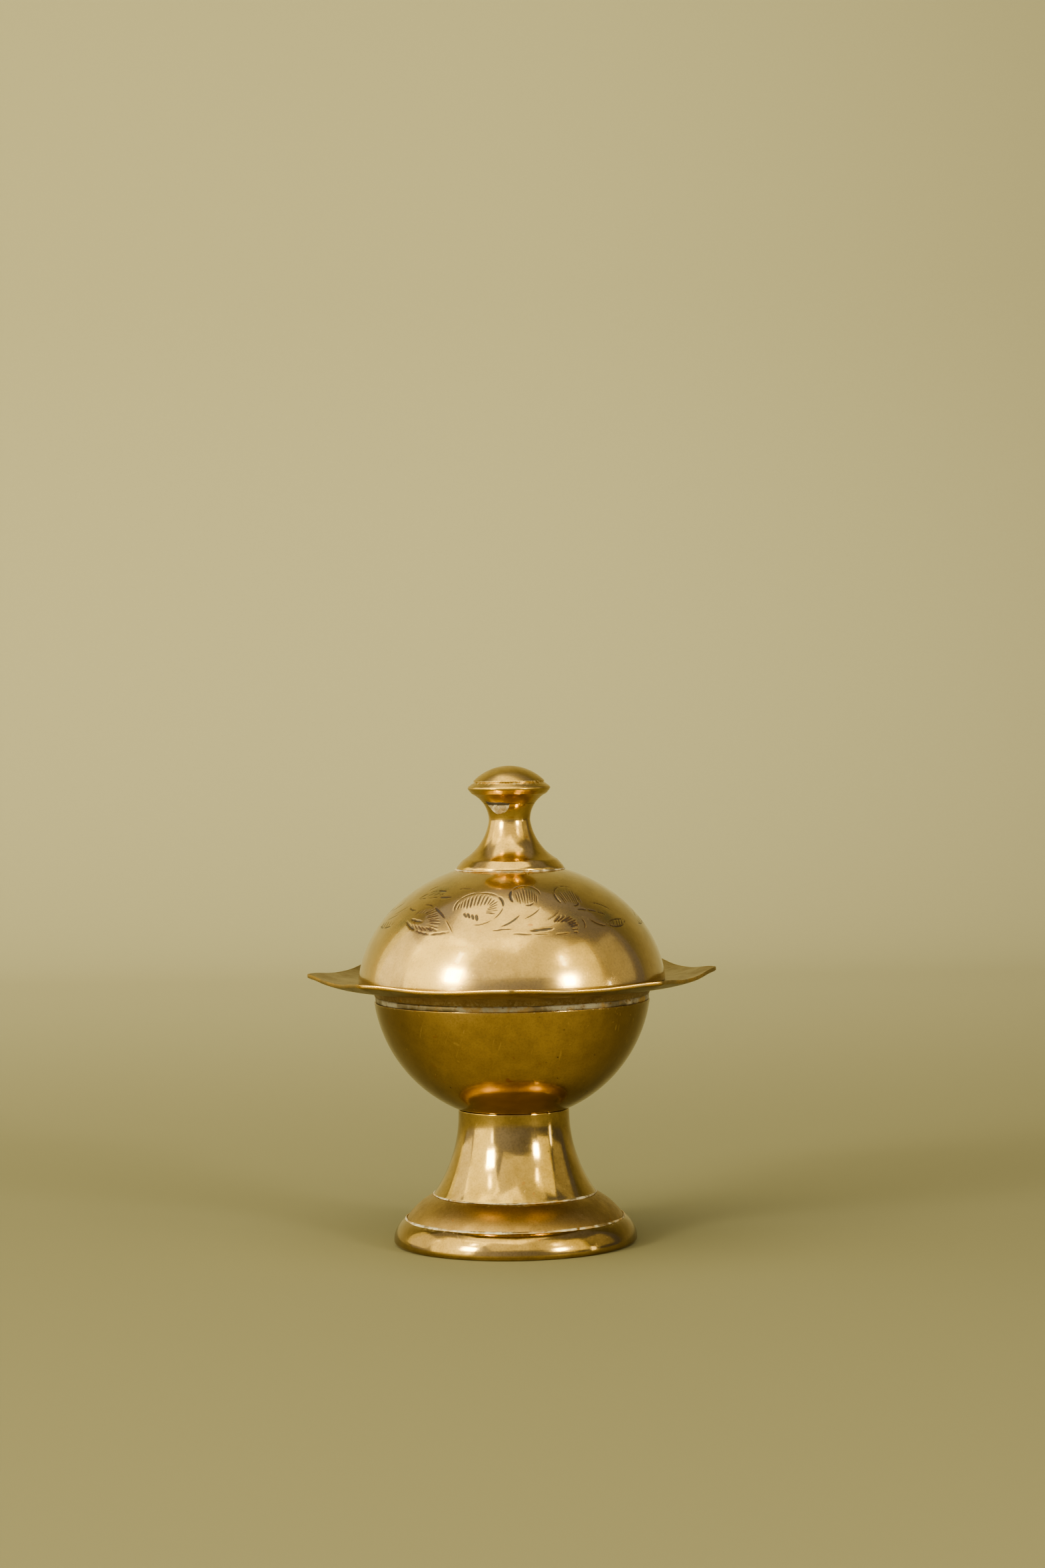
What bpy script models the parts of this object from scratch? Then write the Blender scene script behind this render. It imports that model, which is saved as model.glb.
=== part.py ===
"""A small lidded brass bowl on a hollow foot, with a loose domed lid and an eight-cornered brim.

Metres, +Z up. The origin is the centre of the underside of the foot, and +Z is the turning axis.
The lid and everything soldered to it hang on one empty, the bowl and its foot on another.
"""

import math

import bmesh
import bpy

# Driving dimensions, in metres.
GAP = 0.0003  # left between pieces that touch
TURN_STEPS = 40  # sides of the large turned pieces
SMALL_TURN_STEPS = 24  # sides of the knob and its neck
SHARP_EDGE_DEGREES = 35

FOOT_RADIUS = 0.02456  # widest, just above the underside
FOOT_UNDERSIDE_RADIUS = 0.0242
FOOT_SHOULDER_RADIUS = 0.0055  # of the rounded outer shoulder's arc
FOOT_SHOULDER_START = 0.0006
FOOT_RING_HEIGHT = 0.0051
FOOT_RING_INNER_RADIUS = 0.0214
FOOT_LEDGE_RADIUS = 0.0200  # the ring's inner ledge, which carries the moulding
FOOT_LEDGE_WALL = 0.0012
FOOT_LEDGE_FILLET = 0.0008

MOULDING_BOTTOM_RADIUS = 0.0219
MOULDING_TOP_RADIUS = 0.0164
MOULDING_TOP_HEIGHT = 0.0099
MOULDING_ARC_RADIUS = 0.0134
MOULDING_WALL = 0.0011
MOULDING_HOLE_RADIUS = 0.0135

STEM_WAIST_RADIUS = 0.01115
STEM_WAIST_HEIGHT = 0.0263
STEM_FLARE_RADIUS = 0.0280
STEM_WALL = 0.0010

BOWL_CENTRE_HEIGHT = 0.05287
BOWL_RADIUS = 0.02807
BOWL_WALL = 0.0009
BOWL_RIM_HEIGHT = 0.0490

COLLAR_BOTTOM_HEIGHT = 0.0501
COLLAR_BOTTOM_RADIUS = 0.0277
COLLAR_TOP_RADIUS = 0.0283
COLLAR_BORE_RADIUS = 0.0255
COLLAR_SPIGOT_RADIUS = 0.02625  # fits inside the bowl's mouth
COLLAR_SPIGOT_DEPTH = 0.0024
COLLAR_LIP_RADIUS = 0.0266  # fits inside the brim's hole

BRIM_TOP_HEIGHT = 0.05272
BRIM_SHEET = 0.00075
BRIM_CORNERS = 8
BRIM_CORNER_RADIUS = 0.04156
BRIM_FLAT_RADIUS = 0.0312  # flat as far as this, then it curls up
BRIM_EDGE_LIFT = 0.0013
BRIM_CORNER_LIFTS = (0.0023, 0.0026, 0.0024, 0.0024, 0.0021, 0.0021, 0.0019, 0.0021)  # from +X, anticlockwise
BRIM_CORNER_SHARPNESS = 1.4
BRIM_CURL_RINGS = 5
BRIM_TURN_STEPS = 64

DOME_CENTRE_HEIGHT = 0.05098
DOME_RADIUS = 0.03108
DOME_RISE = 0.02595
DOME_WALL = 0.0008
DOME_FOOT_HEIGHT = BRIM_TOP_HEIGHT + GAP
DOME_FOOT_ROUNDING = 0.0006
DOME_STEPS = 9

RING_FLANGE_HEIGHT = 0.0008
RING_FLANGE_RADIUS = 0.0297
RING_SKIRT_RADIUS = 0.0251
RING_SKIRT_WALL = 0.0007
RING_SKIRT_DEPTH = 0.0042

NECK_FOOT_RADIUS = 0.0108
NECK_FOOT_EDGE = 0.0005
NECK_WAIST_HEIGHT = 0.08524
NECK_FLARE_CENTRE = (0.0150, 0.08675)  # (r, z) of the wide flare's arc, below the waist
NECK_FLARE_RADIUS = 0.01093
NECK_HOLLOW_CENTRE = (0.01012, 0.08524)  # (r, z) of the tight arc above the waist, under the rim
NECK_HOLLOW_RADIUS = 0.00594
NECK_TOP_HEIGHT = 0.0886
NECK_RECESS_RADIUS = 0.0090

KNOB_HEIGHT = 0.09617  # the whole vessel's height
KNOB_CAP_ARC_RADIUS = 0.0100
KNOB_CAP_RADIUS = 0.0072
KNOB_GROOVE = 0.0002
KNOB_RIM_RADIUS = 0.00837
KNOB_RIM_HEIGHT = 0.0917
KNOB_RIM_ROUNDING = 0.00035
KNOB_UNDERSIDE_DROP = 0.0011  # from the rim to where the concave underside starts
KNOB_SPIGOT_RADIUS = 0.0020
KNOB_SPIGOT_LENGTH = 0.0048

SOLDER_HEIGHT = 0.0005
SOLDER_WIDTH = 0.0006

BRASS = (0.60, 0.42, 0.17)
DARK_BRASS = (0.42, 0.27, 0.10)
PALE_SOLDER = (0.62, 0.60, 0.54)


def clear_scene():
    for obj in list(bpy.data.objects):
        bpy.data.objects.remove(obj, do_unlink=True)


def make_material(name, colour, roughness, metallic=1.0):
    material = bpy.data.materials.new(name)
    material.use_nodes = True
    shader = material.node_tree.nodes["Principled BSDF"]
    shader.inputs["Base Color"].default_value = (*colour, 1.0)
    shader.inputs["Roughness"].default_value = roughness
    shader.inputs["Metallic"].default_value = metallic
    material.diffuse_color = (*colour, 1.0)
    return material


def arc(centre, radius, start, end, steps):
    """Points (r, z) on a circle's arc, angles in degrees from +r towards +z."""
    points = []
    for i in range(steps + 1):
        angle = math.radians(start + (end - start) * i / steps)
        points.append((centre[0] + radius * math.cos(angle), centre[1] + radius * math.sin(angle)))
    return points


def finish(name, shape, material):
    """Puts a bmesh into one named, smooth-shaded object."""
    bmesh.ops.recalc_face_normals(shape, faces=shape.faces)
    mesh = bpy.data.meshes.new(name)
    shape.to_mesh(mesh)
    shape.free()
    mesh.shade_smooth()
    mesh.set_sharp_from_angle(angle=math.radians(SHARP_EDGE_DEGREES))
    mesh.materials.append(material)
    obj = bpy.data.objects.new(name, mesh)
    bpy.context.scene.collection.objects.link(obj)
    return obj


def join_rings(shape, rings):
    """Faces between each ring of vertices and the next, and from the last back to the first."""
    for here, after in zip(rings, rings[1:] + rings[:1]):
        for i in range(len(here)):
            j = (i + 1) % len(here)
            corners = list(dict.fromkeys((here[i], here[j], after[j], after[i])))
            if len(corners) > 2:
                shape.faces.new(corners)


def turned(name, outline, material, steps=TURN_STEPS):
    """Turns a closed outline of (r, z) points about +Z. A point at r = 0 becomes a single pole."""
    shape = bmesh.new()
    rings = []
    for r, z in outline:
        if r == 0.0:
            rings.append([shape.verts.new((0, 0, z))] * steps)
            continue
        angles = [2 * math.pi * i / steps for i in range(steps)]
        rings.append([shape.verts.new((r * math.cos(a), r * math.sin(a), z)) for a in angles])
    join_rings(shape, rings)
    return finish(name, shape, material)


def bowl_surface(r):
    """Height of the bowl's outside at distance r from the axis."""
    return BOWL_CENTRE_HEIGHT - math.sqrt(BOWL_RADIUS**2 - r**2)


def dome_surface(r):
    """Height of the dome's outside at distance r from the axis."""
    return DOME_CENTRE_HEIGHT + DOME_RISE * math.sqrt(1 - (r / DOME_RADIUS) ** 2)


def dome_radius(z):
    """Radius of the dome's outside at height z."""
    return DOME_RADIUS * math.sqrt(1 - ((z - DOME_CENTRE_HEIGHT) / DOME_RISE) ** 2)


def make_foot_ring(material):
    """Lower ring: flat underside, rounded outer shoulder, and an inner ledge."""
    centre = (FOOT_RADIUS - FOOT_SHOULDER_RADIUS, FOOT_SHOULDER_START)
    rise = FOOT_RING_HEIGHT - FOOT_SHOULDER_START
    shoulder_end = math.degrees(math.asin(rise / FOOT_SHOULDER_RADIUS))
    ledge_bottom = FOOT_RING_HEIGHT - FOOT_LEDGE_WALL
    outline = [
        (FOOT_UNDERSIDE_RADIUS, 0.0),
        *arc(centre, FOOT_SHOULDER_RADIUS, 0, shoulder_end, 5),
        (FOOT_LEDGE_RADIUS, FOOT_RING_HEIGHT),
        (FOOT_LEDGE_RADIUS, ledge_bottom),
        (FOOT_RING_INNER_RADIUS, ledge_bottom - FOOT_LEDGE_FILLET),
        (FOOT_RING_INNER_RADIUS, 0.0),
    ]
    return turned("foot_ring", outline, material)


def make_foot_moulding(material):
    """Upper, domed part of the foot: a shell with a flat top that carries the stem."""
    bottom = (MOULDING_BOTTOM_RADIUS, FOOT_RING_HEIGHT + GAP)
    top = (MOULDING_TOP_RADIUS, MOULDING_TOP_HEIGHT)
    chord = math.dist(bottom, top)
    inward = ((bottom[1] - top[1]) / chord, (top[0] - bottom[0]) / chord)
    reach = math.sqrt(MOULDING_ARC_RADIUS**2 - (chord / 2) ** 2)
    centre = (
        (bottom[0] + top[0]) / 2 + inward[0] * reach,
        (bottom[1] + top[1]) / 2 + inward[1] * reach,
    )
    start = math.degrees(math.atan2(bottom[1] - centre[1], bottom[0] - centre[0]))
    end = math.degrees(math.atan2(top[1] - centre[1], top[0] - centre[0]))
    inner = arc(centre, MOULDING_ARC_RADIUS - MOULDING_WALL, end, start, 3)
    inner = [(r, min(z, MOULDING_TOP_HEIGHT - MOULDING_WALL)) for r, z in inner]
    inner[-1] = (MOULDING_BOTTOM_RADIUS - MOULDING_WALL, bottom[1])
    outline = [
        *arc(centre, MOULDING_ARC_RADIUS, start, end, 5),
        (MOULDING_HOLE_RADIUS, MOULDING_TOP_HEIGHT),
        (MOULDING_HOLE_RADIUS, MOULDING_TOP_HEIGHT - MOULDING_WALL),
        *inner,
    ]
    return turned("foot_moulding", outline, material)


def stem_radius(z):
    """Outer radius of the stem: straight at the waist, flaring below it on one large arc."""
    drop = max(STEM_WAIST_HEIGHT - z, 0.0)
    return STEM_WAIST_RADIUS + STEM_FLARE_RADIUS - math.sqrt(STEM_FLARE_RADIUS**2 - drop**2)


def make_stem(material):
    """Hollow flared stem. Its top edge is cut to the bowl's curve."""
    bottom = MOULDING_TOP_HEIGHT + GAP
    steps = 6
    heights = [bottom + (STEM_WAIST_HEIGHT - bottom) * i / steps for i in range(steps + 1)]
    inner_top = STEM_WAIST_RADIUS - STEM_WALL
    inner_heights = heights[steps - 2 :: -2]
    outline = [
        *[(stem_radius(z), z) for z in heights],
        (STEM_WAIST_RADIUS, bowl_surface(STEM_WAIST_RADIUS) - GAP),
        (inner_top, bowl_surface(inner_top) - GAP),
        *[(stem_radius(z) - STEM_WALL, z) for z in inner_heights],
    ]
    return turned("stem", outline, material)


def make_bowl(material):
    """Round sheet bowl, open at the top."""
    centre = (0.0, BOWL_CENTRE_HEIGHT)
    inner_radius = BOWL_RADIUS - BOWL_WALL
    below = BOWL_CENTRE_HEIGHT - BOWL_RIM_HEIGHT
    outer = arc(centre, BOWL_RADIUS, -90, -math.degrees(math.asin(below / BOWL_RADIUS)), 8)
    inner = arc(centre, inner_radius, -math.degrees(math.asin(below / inner_radius)), -90, 8)
    outer[0] = (0.0, outer[0][1])
    inner[-1] = (0.0, inner[-1][1])
    return turned("bowl", outer + inner, material)


def make_mouth_collar(material):
    """Turned ring between bowl and brim: a spigot below, a visible band, and a lip above."""
    band_top = BRIM_TOP_HEIGHT - BRIM_SHEET - GAP
    spigot_bottom = COLLAR_BOTTOM_HEIGHT - COLLAR_SPIGOT_DEPTH
    outline = [
        (COLLAR_BOTTOM_RADIUS, COLLAR_BOTTOM_HEIGHT),
        (COLLAR_TOP_RADIUS, band_top),
        (COLLAR_LIP_RADIUS, band_top),
        (COLLAR_LIP_RADIUS, BRIM_TOP_HEIGHT),
        (COLLAR_BORE_RADIUS, BRIM_TOP_HEIGHT),
        (COLLAR_BORE_RADIUS, spigot_bottom),
        (COLLAR_SPIGOT_RADIUS, spigot_bottom),
        (COLLAR_SPIGOT_RADIUS, COLLAR_BOTTOM_HEIGHT),
    ]
    return turned("mouth_collar", outline, material)


def brim_edge(angle):
    """Outer radius and lift of the brim at an angle: a straight-sided octagon with raised corners."""
    sector = 2 * math.pi / BRIM_CORNERS
    corner = round(angle / sector)
    from_middle = sector / 2 - abs(angle - corner * sector)
    radius = BRIM_CORNER_RADIUS * math.cos(sector / 2) / math.cos(from_middle)
    corner_share = ((1 + math.cos(BRIM_CORNERS * angle)) / 2) ** BRIM_CORNER_SHARPNESS
    corner_lift = BRIM_CORNER_LIFTS[corner % BRIM_CORNERS]
    return radius, BRIM_EDGE_LIFT + (corner_lift - BRIM_EDGE_LIFT) * corner_share


def make_petal_brim(material):
    """Sheet brim with eight curled-up corners, as rings of vertices on its top and underside."""
    shape = bmesh.new()
    angles = [2 * math.pi * i / BRIM_TURN_STEPS for i in range(BRIM_TURN_STEPS)]
    hole_radius = COLLAR_LIP_RADIUS + GAP

    def ring(share, depth):
        """The ring at a share of the way from the flat's end to the edge. A share of None is the hole."""
        verts = []
        for angle in angles:
            edge_radius, lift = brim_edge(angle)
            if share is None:
                r, z = hole_radius, BRIM_TOP_HEIGHT
            else:
                r = BRIM_FLAT_RADIUS + (edge_radius - BRIM_FLAT_RADIUS) * share
                z = BRIM_TOP_HEIGHT + lift * share**2
            verts.append(shape.verts.new((r * math.cos(angle), r * math.sin(angle), z - depth)))
        return verts

    shares = [None] + [i / (BRIM_CURL_RINGS - 1) for i in range(BRIM_CURL_RINGS)]
    top = [ring(share, 0.0) for share in shares]
    underside = [ring(share, BRIM_SHEET) for share in reversed(shares)]
    join_rings(shape, top + underside)
    return finish("petal_brim", shape, material)


def make_lid_dome(material):
    """Spun dome with a closed crown and a rounded foot that stands on the brim."""
    edge_height = DOME_FOOT_HEIGHT + DOME_FOOT_ROUNDING
    start = math.asin((edge_height - DOME_CENTRE_HEIGHT) / DOME_RISE)

    def curve(inset):
        """The dome's outline from foot to crown, as an ellipse's arc."""
        points = []
        for i in range(DOME_STEPS):
            turn = start + (math.pi / 2 - start) * i / DOME_STEPS
            r = (DOME_RADIUS - inset) * math.cos(turn)
            points.append((r, DOME_CENTRE_HEIGHT + (DOME_RISE - inset) * math.sin(turn)))
        return points + [(0.0, DOME_CENTRE_HEIGHT + DOME_RISE - inset)]

    foot_radius = dome_radius(edge_height)
    outline = [
        (foot_radius - DOME_FOOT_ROUNDING * 0.8, DOME_FOOT_HEIGHT),
        (foot_radius - DOME_FOOT_ROUNDING * 0.2, DOME_FOOT_HEIGHT + DOME_FOOT_ROUNDING * 0.3),
        *curve(0.0),
        *reversed(curve(DOME_WALL)),
        (foot_radius - DOME_WALL, DOME_FOOT_HEIGHT),
    ]
    return turned("lid_dome", outline, material)


def make_lid_locating_ring(material):
    """Flange inside the dome's foot, with a skirt that drops through the collar."""
    top = DOME_FOOT_HEIGHT + RING_FLANGE_HEIGHT
    inner = RING_SKIRT_RADIUS - RING_SKIRT_WALL
    outline = [
        (RING_FLANGE_RADIUS, DOME_FOOT_HEIGHT),
        (RING_FLANGE_RADIUS, top),
        (inner, top),
        (inner, DOME_FOOT_HEIGHT - RING_SKIRT_DEPTH),
        (RING_SKIRT_RADIUS, DOME_FOOT_HEIGHT - RING_SKIRT_DEPTH),
        (RING_SKIRT_RADIUS, DOME_FOOT_HEIGHT),
    ]
    return turned("lid_locating_ring", outline, material)


def neck_radius(z):
    """Outer radius of neck and knob underside: a tight hollow above the waist, a wide flare below it."""
    if z >= NECK_WAIST_HEIGHT:
        return NECK_HOLLOW_CENTRE[0] - math.sqrt(NECK_HOLLOW_RADIUS**2 - (z - NECK_HOLLOW_CENTRE[1]) ** 2)
    return NECK_FLARE_CENTRE[0] - math.sqrt(NECK_FLARE_RADIUS**2 - (z - NECK_FLARE_CENTRE[1]) ** 2)


def make_finial_neck(material):
    """Trumpet on the crown of the dome, hollowed underneath and bored for the knob's spigot."""
    foot_height = dome_surface(NECK_FOOT_RADIUS) + GAP
    edge_top = foot_height + NECK_FOOT_EDGE
    steps = 10
    heights = [edge_top + (NECK_TOP_HEIGHT - edge_top) * i / steps for i in range(1, steps + 1)]
    bore = KNOB_SPIGOT_RADIUS + GAP
    bore_bottom = NECK_TOP_HEIGHT - KNOB_SPIGOT_LENGTH - GAP
    recess = 2 * GAP
    outline = [
        (NECK_FOOT_RADIUS, foot_height),
        (NECK_FOOT_RADIUS, edge_top),
        *[(neck_radius(z), z) for z in heights],
        (bore, NECK_TOP_HEIGHT),
        (bore, bore_bottom),
        (0.0, bore_bottom),
        (0.0, dome_surface(0.0) + recess),
        (NECK_RECESS_RADIUS / 2, dome_surface(NECK_RECESS_RADIUS / 2) + recess),
        (NECK_RECESS_RADIUS, dome_surface(NECK_RECESS_RADIUS) + recess),
    ]
    return turned("finial_neck", outline, material, SMALL_TURN_STEPS)


def make_finial_knob(material):
    """Turned knob: domed cap, fine groove, thin rim, hollow underside and a spigot."""
    bottom = NECK_TOP_HEIGHT + GAP
    cap_end = math.degrees(math.acos(KNOB_CAP_RADIUS / KNOB_CAP_ARC_RADIUS))
    cap = arc((0.0, KNOB_HEIGHT - KNOB_CAP_ARC_RADIUS), KNOB_CAP_ARC_RADIUS, 90, cap_end, 4)
    cap[0] = (0.0, KNOB_HEIGHT)
    groove_height = cap[-1][1]
    underside_top = KNOB_RIM_HEIGHT - KNOB_UNDERSIDE_DROP
    underside = [underside_top + (bottom - underside_top) * i / 3 for i in range(4)]
    outline = [
        *cap,
        (KNOB_CAP_RADIUS - KNOB_GROOVE, groove_height - KNOB_GROOVE),
        (KNOB_CAP_RADIUS + KNOB_GROOVE, groove_height - 2.5 * KNOB_GROOVE),
        (KNOB_RIM_RADIUS - KNOB_GROOVE, KNOB_RIM_HEIGHT + KNOB_RIM_ROUNDING),
        (KNOB_RIM_RADIUS, KNOB_RIM_HEIGHT),
        (KNOB_RIM_RADIUS - KNOB_GROOVE, KNOB_RIM_HEIGHT - KNOB_RIM_ROUNDING),
        *[(neck_radius(z), z) for z in underside],
        (KNOB_SPIGOT_RADIUS, bottom),
        (KNOB_SPIGOT_RADIUS, bottom - KNOB_SPIGOT_LENGTH),
        (0.0, bottom - KNOB_SPIGOT_LENGTH),
    ]
    return turned("finial_knob", outline, material, SMALL_TURN_STEPS)


def make_solder_ring(name, inner, outer, bottom, material, slope=0.0):
    """Thin ring of solder, lower at its outer edge. The slope makes it follow a falling surface."""
    outline = [
        (inner, bottom),
        (outer, bottom - slope),
        (outer, bottom - slope + SOLDER_HEIGHT * 0.6),
        (inner, bottom + SOLDER_HEIGHT),
    ]
    return turned(name, outline, material)


def make_finial_solder_ring(material):
    inner = NECK_FOOT_RADIUS + GAP
    outer = inner + SOLDER_WIDTH
    fall = dome_surface(inner) - dome_surface(outer)
    return make_solder_ring("finial_solder_ring", inner, outer, dome_surface(inner) + GAP, material, fall)


def make_collar_solder_ring(material):
    inner = COLLAR_SPIGOT_RADIUS + GAP
    outer = COLLAR_BOTTOM_RADIUS + SOLDER_WIDTH / 6
    return make_solder_ring("collar_solder_ring", inner, outer, BOWL_RIM_HEIGHT + GAP, material)


def make_stem_solder_ring(material):
    bottom = MOULDING_TOP_HEIGHT + GAP
    inner = stem_radius(bottom) + GAP
    return make_solder_ring("stem_solder_ring", inner, inner + SOLDER_WIDTH / 2, bottom, material)


def make_foot_solder_ring(material):
    inner = MOULDING_BOTTOM_RADIUS + GAP
    return make_solder_ring("foot_solder_ring", inner, inner + SOLDER_WIDTH, FOOT_RING_HEIGHT + GAP, material)


def group(name, members):
    """Parents the members of one rigid assembly to an empty on the turning axis."""
    empty = bpy.data.objects.new(name, None)
    bpy.context.scene.collection.objects.link(empty)
    for member in members:
        member.parent = empty


def main():
    clear_scene()
    solder = make_material("solder", PALE_SOLDER, 0.6, 0.5)
    stand = [
        make_foot_ring(make_material("foot_ring_brass", BRASS, 0.25)),
        make_foot_moulding(make_material("foot_moulding_brass", DARK_BRASS, 0.35)),
        make_stem(make_material("stem_brass", BRASS, 0.2)),
        make_bowl(make_material("bowl_brass", DARK_BRASS, 0.35)),
        make_mouth_collar(make_material("collar_brass", DARK_BRASS, 0.4)),
        make_petal_brim(make_material("brim_brass", BRASS, 0.4)),
        make_foot_solder_ring(solder),
        make_stem_solder_ring(solder),
        make_collar_solder_ring(solder),
    ]
    lid = [
        make_lid_dome(make_material("dome_brass", BRASS, 0.3)),
        make_lid_locating_ring(make_material("locating_ring_brass", DARK_BRASS, 0.4)),
        make_finial_neck(make_material("neck_brass", BRASS, 0.25)),
        make_finial_knob(make_material("knob_brass", BRASS, 0.3)),
        make_finial_solder_ring(solder),
    ]
    group("stand", stand)
    group("lid", lid)


main()
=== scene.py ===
"""Looks for a small lidded brass bowl on a foot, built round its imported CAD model. +Z is up.

Outlines are in millimetres and become metres when a mesh is made.
"""

import math

import bpy
import numpy as np
from mathutils import Matrix, Vector


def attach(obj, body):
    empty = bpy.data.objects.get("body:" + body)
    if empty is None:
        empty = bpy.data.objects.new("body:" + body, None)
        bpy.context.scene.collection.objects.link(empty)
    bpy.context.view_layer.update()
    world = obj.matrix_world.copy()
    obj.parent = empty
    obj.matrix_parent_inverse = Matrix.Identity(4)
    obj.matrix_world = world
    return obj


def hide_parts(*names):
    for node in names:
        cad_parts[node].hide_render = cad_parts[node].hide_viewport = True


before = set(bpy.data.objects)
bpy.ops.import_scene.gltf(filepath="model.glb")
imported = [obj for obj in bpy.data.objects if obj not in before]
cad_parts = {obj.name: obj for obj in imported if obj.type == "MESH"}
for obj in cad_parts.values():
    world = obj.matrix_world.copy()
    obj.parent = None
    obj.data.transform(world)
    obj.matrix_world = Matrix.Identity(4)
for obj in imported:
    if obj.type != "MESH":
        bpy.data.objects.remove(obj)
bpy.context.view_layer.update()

MM = 0.001
TAU = 2 * math.pi
COLUMNS = 256  # sides of an ordinary turned piece
CLOSE = 0.04  # what is left between pieces that touch
SHARP = math.radians(22)  # an outline's gentler corners aren't rounded


# ---------------------------------------------------------------- mesh tools


def make_object(name, vertices, faces, body, attributes=None):
    """Vertices in millimetres and faces as lists of indices, as one smooth piece that rides on a body."""
    mesh = bpy.data.meshes.new(name)
    mesh.from_pydata((np.asarray(vertices) * MM).tolist(), [], faces)
    mesh.validate()
    mesh.shade_smooth()
    for key, values in (attributes or {}).items():
        attribute = mesh.attributes.new(key, "FLOAT", "POINT")
        attribute.data.foreach_set("value", np.asarray(values, np.float32))
    obj = bpy.data.objects.new(name, mesh)
    bpy.context.scene.collection.objects.link(obj)
    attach(obj, body)
    return obj


def quads(first, second, columns):
    """Faces between two rings of the same size, given the index of each ring's first vertex."""
    here = np.arange(columns)
    after = (here + 1) % columns
    return np.stack([first + here, first + after, second + after, second + here], 1).tolist()


def fan(ring, pole, columns, upward):
    """Faces between a ring and a pole on the axis, given the index of the ring's first vertex."""
    here = np.arange(columns)
    after = (here + 1) % columns
    order = (ring + here, ring + after) if upward else (ring + after, ring + here)
    return [[int(a), int(b), pole] for a, b in zip(*order)]


def ring_points(theta, radius, z):
    """One point for each angle round the axis. Radius and height are numbers or vary with the angle."""
    return np.stack([radius * np.cos(theta), radius * np.sin(theta), np.broadcast_to(z, theta.shape)], 1)


def wobble(theta, seed, amount, orders=(2, 3, 5, 8)):
    """A gentle, seeded unevenness round a turned piece."""
    rng = np.random.default_rng(seed)
    total = np.zeros_like(theta)
    for order in orders:
        total = total + rng.normal() / math.sqrt(order) * np.cos(order * theta + rng.uniform(0, TAU))
    return amount * total / 2


def arc(centre, radius, start, end, steps=24):
    """Points (r, z) on a circle's arc, angles in degrees from +r towards +z."""
    turns = np.radians(np.linspace(start, end, steps + 1))
    return [(centre[0] + radius * math.cos(t), centre[1] + radius * math.sin(t)) for t in turns]


def soften(outline, radius, steps=4, closed=True):
    """Rounds every corner of an outline that turns by more than SHARP."""
    points = [np.array(p, float) for p in outline]
    result = []
    count = len(points)
    for i, point in enumerate(points):
        if not closed and i in (0, count - 1):
            result.append(point)
            continue
        back, ahead = points[i - 1] - point, points[(i + 1) % count] - point
        back_length, ahead_length = np.linalg.norm(back), np.linalg.norm(ahead)
        turn = math.acos(max(-1, min(1, -(back @ ahead) / (back_length * ahead_length))))
        if turn < SHARP:
            result.append(point)
            continue
        start = point + back / back_length * min(radius, 0.45 * back_length)
        end = point + ahead / ahead_length * min(radius, 0.45 * ahead_length)
        for k in range(steps + 1):
            t = k / steps
            result.append(start * (1 - t) ** 2 + point * 2 * t * (1 - t) + end * t * t)
    return result


def densify(points, longest, closed=True):
    """Adds points so that no segment of an outline is longer than the longest wanted."""
    result = []
    count = len(points)
    for i in range(count if closed else count - 1):
        a, b = np.array(points[i]), np.array(points[(i + 1) % count])
        parts = max(1, math.ceil(np.linalg.norm(b - a) / longest))
        result += [a + (b - a) * k / parts for k in range(parts)]
    if not closed:
        result.append(np.array(points[-1]))
    return result


def turned(name, outline, body, edge=0.15, step=0.6, uneven=0.03, seed=1):
    """A piece turned about +Z from an outline that runs up its outside and down its inside.

    An outline that starts and ends on the axis is closed there by poles.
    """
    poles = outline[0][0] == 0
    points = densify(soften(outline, edge, closed=not poles), step, closed=not poles)
    theta = np.arange(COLUMNS) * TAU / COLUMNS
    vertices, faces, firsts = [], [], []
    for index, (r, z) in enumerate(points):
        if poles and index in (0, len(points) - 1):
            firsts.append(len(vertices))
            vertices.append((0, 0, z))
            continue
        firsts.append(len(vertices))
        radius = r + wobble(theta, seed, uneven) * min(1, r / 10)
        vertices.extend(ring_points(theta, radius, z).tolist())
    last = len(points) - 1
    for index in range(last if poles else last + 1):
        here, after = firsts[index], firsts[(index + 1) % len(points)]
        if poles and index == 0:
            faces += fan(after, here, COLUMNS, upward=False)
        elif poles and index == last - 1:
            faces += fan(here, after, COLUMNS, upward=True)
        else:
            faces += quads(here, after, COLUMNS)
    return make_object(name, vertices, faces, body)


# ---------------------------------------------------------------- shared shapes, as in the CAD model

FOOT_RING_TOP = 5.1
FOOT_ROLL = ((19.06, 0.6), 5.5, 54.8)  # the foot's rolled side: centre, radius, and the angle where it ends
MOULDING_TOP, MOULDING_ARC, MOULDING_WALL, MOULDING_HOLE = 9.9, 13.4, 1.1, 13.5
STEM_WAIST = (11.15, 26.3)
STEM_ARC, STEM_WALL = 28.0, 1.0
BOWL_CENTRE, BOWL_RADIUS, BOWL_WALL, BOWL_RIM = 52.87, 28.07, 0.9, 49.0
COLLAR_BOTTOM, COLLAR_BORE, COLLAR_LIP, COLLAR_SPIGOT, SPIGOT_BOTTOM = 50.1, 25.5, 26.6, 26.25, 47.7
BRIM_TOP, BRIM_SHEET, BRIM_FLAT, BRIM_CORNER = 52.72, 0.75, 31.2, 41.56
BRIM_EDGE_LIFT = 1.3  # halfway between two corners
BRIM_TIP_ROUND = 0.010  # radians over which each corner's point is rounded off
BRIM_CORNER_LIFTS = (2.3, 2.6, 2.4, 2.4, 2.1, 2.1, 1.9, 2.1)  # anticlockwise from +X
DOME_CENTRE, DOME_RADIUS, DOME_RISE, DOME_WALL = 50.98, 31.08, 25.95, 0.8
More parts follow.
